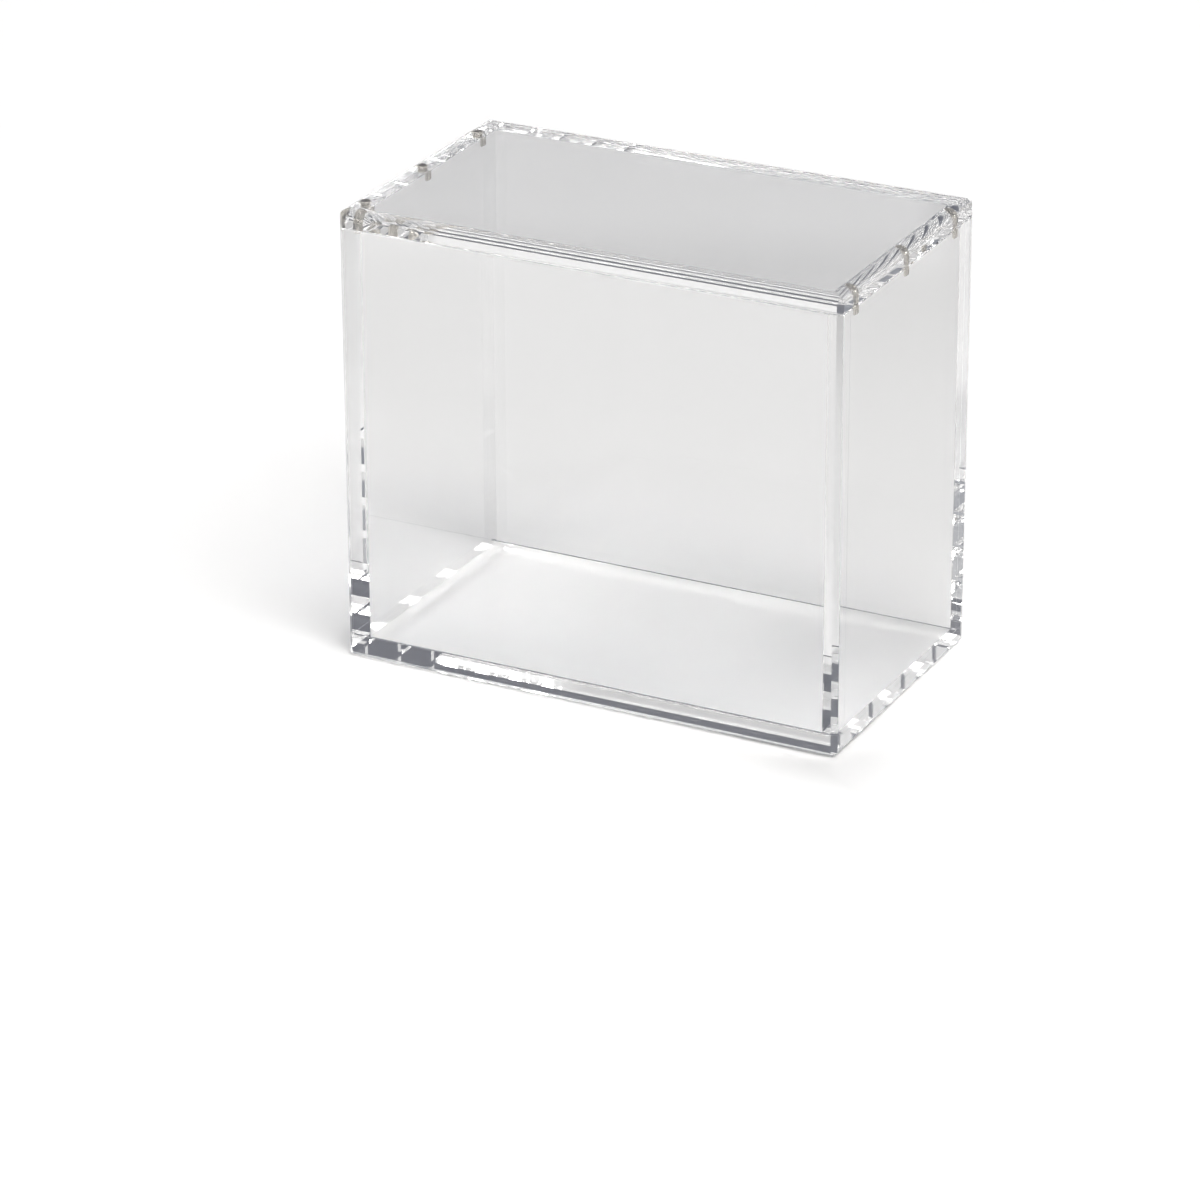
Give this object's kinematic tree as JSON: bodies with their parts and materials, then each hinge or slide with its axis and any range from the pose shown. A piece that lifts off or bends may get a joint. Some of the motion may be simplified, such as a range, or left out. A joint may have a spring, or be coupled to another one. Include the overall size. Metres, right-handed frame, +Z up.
{
  "type": "booster box case",
  "caption": "Clear acrylic display case: a welded open-top box of thick sheet with a loose slab lid, rounded along its top edges, that small magnets hold down.",
  "frame": {"origin": "centre of the base panel's underside, on the surface the case stands on", "axes": "+Z up, +X to the right along the wide front panel, -Y out of the front panel"},
  "size_m": [0.1536, 0.0878, 0.1358],
  "materials": {
    "clear_acrylic": "polished clear cast sheet",
    "nickel_plate": "bright nickel plating"
  },
  "bodies": {
    "case": {"base_panel": "clear_acrylic", "front_panel": "clear_acrylic", "back_panel": "clear_acrylic", "left_panel": "clear_acrylic", "right_panel": "clear_acrylic", "case_magnet_left_front": "nickel_plate", "case_magnet_left_middle": "nickel_plate", "case_magnet_left_rear": "nickel_plate", "case_magnet_right_front": "nickel_plate", "case_magnet_right_middle": "nickel_plate", "case_magnet_right_rear": "nickel_plate"},
    "lid": {"lid_panel": "clear_acrylic", "lid_magnet_left_front": "nickel_plate", "lid_magnet_left_middle": "nickel_plate", "lid_magnet_left_rear": "nickel_plate", "lid_magnet_right_front": "nickel_plate", "lid_magnet_right_middle": "nickel_plate", "lid_magnet_right_rear": "nickel_plate"}
  },
  "joints": [
    {"name": "lid_lift", "type": "slide", "parent": "case", "child": "lid", "axis": [0, 0, 1], "range_m": [0, 0.06]}
  ]
}
